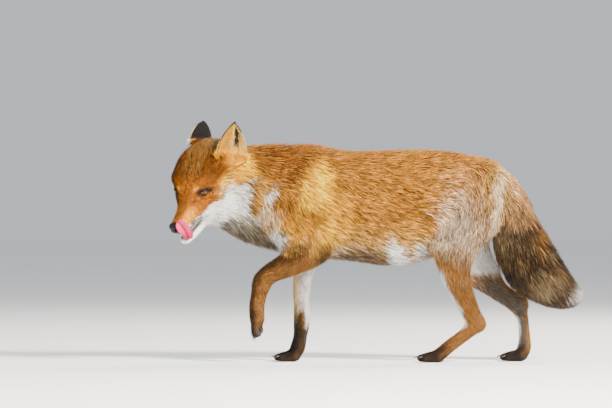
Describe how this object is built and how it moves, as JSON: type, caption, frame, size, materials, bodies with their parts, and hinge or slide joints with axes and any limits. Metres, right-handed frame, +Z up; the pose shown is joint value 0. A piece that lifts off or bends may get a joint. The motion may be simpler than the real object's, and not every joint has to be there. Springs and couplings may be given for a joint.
{
  "type": "red fox",
  "caption": "Life-size red fox walking with one forepaw lifted, back level, brush tail hanging, head low and turned aside, tongue curled up over its nose.",
  "frame": {"origin": "on the floor under the middle of the whole fox's box", "axes": "-X is the way the body faces, -Y is the fox's left side, +Z is up"},
  "size_m": [0.7272, 0.2196, 0.4209],
  "materials": {
    "coat_red": "matt fur, rufous with dark and pale flecks",
    "coat_pale": "matt fur, white to grey-white",
    "coat_dark": "matt fur, blackish brown",
    "eye": "wet amber eye with a dark slit pupil",
    "nose": "moist black pebbled skin",
    "tongue": "wet pink",
    "claw": "dark horn"
  },
  "bodies": {
    "root": {"head": "coat_red", "lower_jaw": "coat_pale", "nose": "nose", "tongue": "tongue", "eye_left": "eye", "eye_right": "eye", "ear_left": "coat_dark", "ear_right": "coat_dark", "neck": "coat_red", "shoulders": "coat_red", "ribs": "coat_red", "belly": "coat_red", "rump": "coat_red", "left_forearm": "coat_red", "left_forepaw": "coat_dark", "right_forearm": "coat_red", "right_forepaw": "coat_dark", "left_thigh": "coat_red", "left_shank": "coat_red", "left_metatarsus": "coat_red", "left_hindpaw": "coat_dark", "right_thigh": "coat_red", "right_shank": "coat_red", "right_metatarsus": "coat_red", "right_hindpaw": "coat_dark", "tail_root": "coat_red", "tail_upper": "coat_dark", "tail_lower": "coat_dark", "tail_tip": "coat_pale"}
  },
  "joints": []
}
